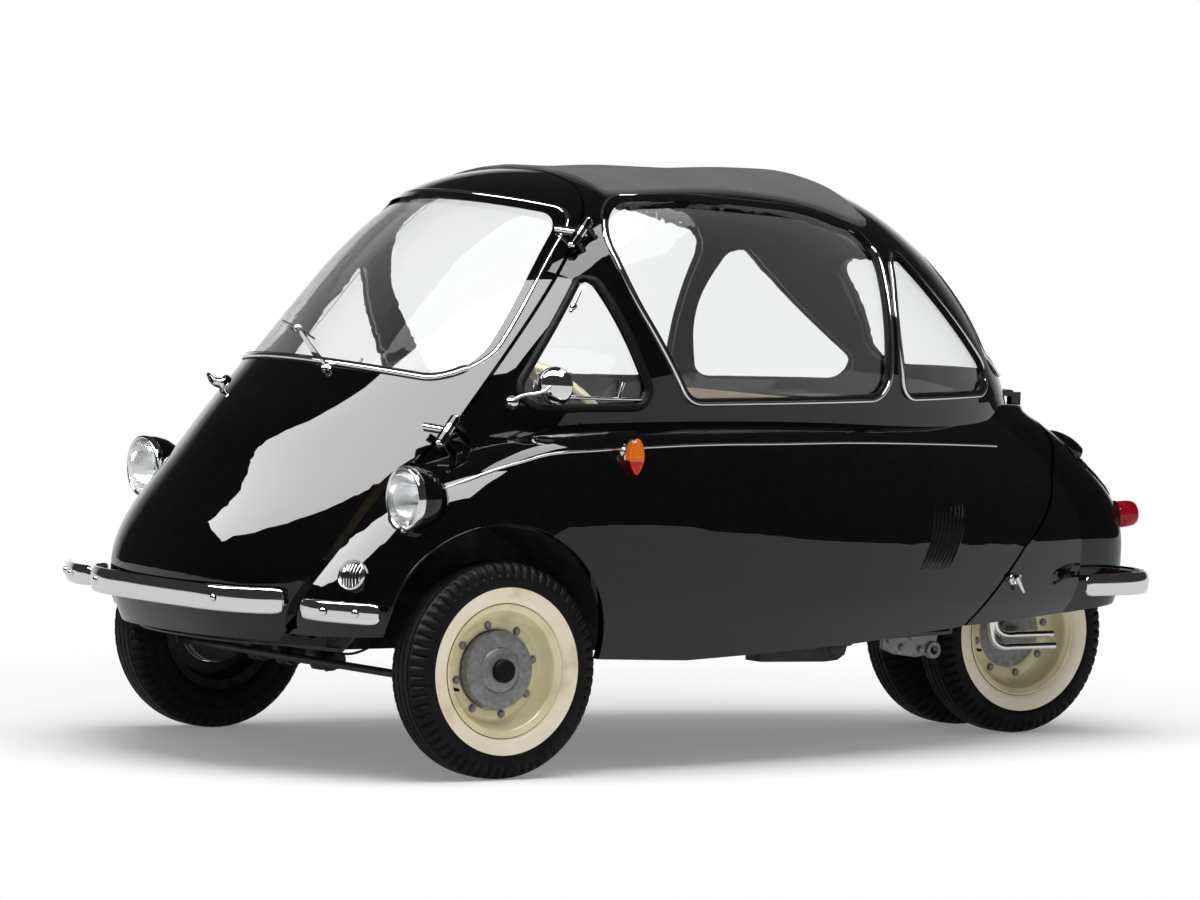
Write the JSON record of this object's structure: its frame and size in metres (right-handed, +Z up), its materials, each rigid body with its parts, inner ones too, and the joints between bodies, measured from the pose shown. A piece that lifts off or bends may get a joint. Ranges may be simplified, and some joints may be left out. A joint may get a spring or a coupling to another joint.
{
  "type": "bubble car",
  "caption": "Small egg-shaped cabin car whose whole nose is a side-hinged door, with two steered front wheels and a close-set rear pair.",
  "frame": {"origin": "on the floor, in the middle of the overall length and width", "axes": "+Z up, the nose faces -Y, +X is the car's left side"},
  "size_m": [1.38, 2.55, 1.3201],
  "materials": {
    "body_paint": "gloss black",
    "underside_paint": "satin black",
    "roof_fabric": "woven dark grey",
    "glass": "clear",
    "lamp_glass": "fluted",
    "chrome": "polished",
    "indicator_plastic": "amber over red",
    "tail_lamp_plastic": "red, translucent look",
    "seat_fabric": "tan cloth",
    "rubber": "matt",
    "cast_metal": "dull cast",
    "tyre": "black with a cream wall band",
    "rim_paint": "cream",
    "wheel_plastic": "ivory"
  },
  "bodies": {
    "body": {"cabin_shell": "body_paint", "lower_body": "body_paint", "floor_pan": "underside_paint", "wheel_wells": "underside_paint", "rear_bulkhead": "underside_paint", "fabric_roof": "roof_fabric", "side_windows": "glass", "vent_windows": "glass", "rear_window": "glass", "headlamps": "chrome", "headlamp_lenses": "lamp_glass", "horn_grille": "chrome", "side_indicators": "indicator_plastic", "front_corner_bumpers": "chrome", "exterior_mirror": "chrome", "door_hinge_brackets": "body_paint", "seat_frame": "underside_paint", "front_seat": "seat_fabric", "front_backrest": "seat_fabric", "rear_seat": "seat_fabric", "steering_column": "underside_paint", "pedals": "rubber", "front_axle_tube": "underside_paint", "front_swing_arms": "underside_paint", "engine_block": "cast_metal", "engine_cradle": "underside_paint", "rear_swing_arm": "cast_metal", "exhaust_pipes": "chrome"},
    "door": {"front_door": "body_paint", "windscreen": "glass", "centre_bumper": "chrome", "door_hinge_arms": "body_paint", "door_handle": "chrome", "wiper": "chrome"},
    "tail": {"tail_cover": "body_paint", "tail_lights": "tail_lamp_plastic", "rear_bumpers": "chrome", "air_scoops": "body_paint", "tail_latches": "chrome"},
    "steering_wheel": {"steering_wheel": "wheel_plastic"},
    "left_knuckle": {"left_knuckle": "underside_paint"},
    "right_knuckle": {"right_knuckle": "underside_paint"},
    "front_left_wheel": {"front_left_tyre": "tyre", "front_left_rim": "rim_paint", "front_left_drum": "cast_metal"},
    "front_right_wheel": {"front_right_tyre": "tyre", "front_right_rim": "rim_paint", "front_right_drum": "cast_metal"},
    "rear_wheels": {"rear_tyres": "tyre", "rear_rims": "rim_paint", "rear_axle": "cast_metal"},
    "track_rod": {"track_rod": "underside_paint"}
  },
  "joints": [
    {"name": "door_hinge", "type": "hinge", "parent": "body", "child": "door", "pos_m": [0.527, -0.832, 0.752], "axis": [-0.13, 0.6536, 0.7455], "range_deg": [0, 80]},
    {"name": "tail_hinge", "type": "hinge", "parent": "body", "child": "tail", "pos_m": [0, 1.011, 0.8], "axis": [1, 0, 0], "range_deg": [0, 50]},
    {"name": "steering_turn", "type": "hinge", "parent": "body", "child": "steering_wheel", "pos_m": [0.24, -0.33, 0.73], "axis": [0, 0.7855, 0.6189], "range_deg": [-392, 392]},
    {"name": "left_steer", "type": "hinge", "parent": "body", "child": "left_knuckle", "pos_m": [0.5345, -0.755, 0.237], "axis": [0, 0, 1], "range_deg": [-28.5, 28.5]},
    {"name": "right_steer", "type": "hinge", "parent": "body", "child": "right_knuckle", "pos_m": [-0.5345, -0.755, 0.237], "axis": [0, 0, 1], "range_deg": [-28.5, 28.5]},
    {"name": "track_rod_pivot", "type": "hinge", "parent": "left_knuckle", "child": "track_rod", "pos_m": [0.5345, -0.885, 0.214], "axis": [0, 0, 1], "range_deg": [-28.5, 28.5]},
    {"name": "front_left_spin", "type": "hinge", "parent": "left_knuckle", "child": "front_left_wheel", "pos_m": [0.6125, -0.755, 0.237], "axis": [1, 0, 0], "continuous": true},
    {"name": "front_right_spin", "type": "hinge", "parent": "right_knuckle", "child": "front_right_wheel", "pos_m": [-0.6125, -0.755, 0.237], "axis": [1, 0, 0], "continuous": true},
    {"name": "rear_spin", "type": "hinge", "parent": "body", "child": "rear_wheels", "pos_m": [0, 1.005, 0.237], "axis": [1, 0, 0], "continuous": true}
  ],
  "couplings": [
    {"joint": "left_steer", "follows": "steering_turn", "ratio": 0.071429},
    {"joint": "right_steer", "follows": "steering_turn", "ratio": 0.071429},
    {"joint": "track_rod_pivot", "follows": "steering_turn", "ratio": -0.071429}
  ]
}
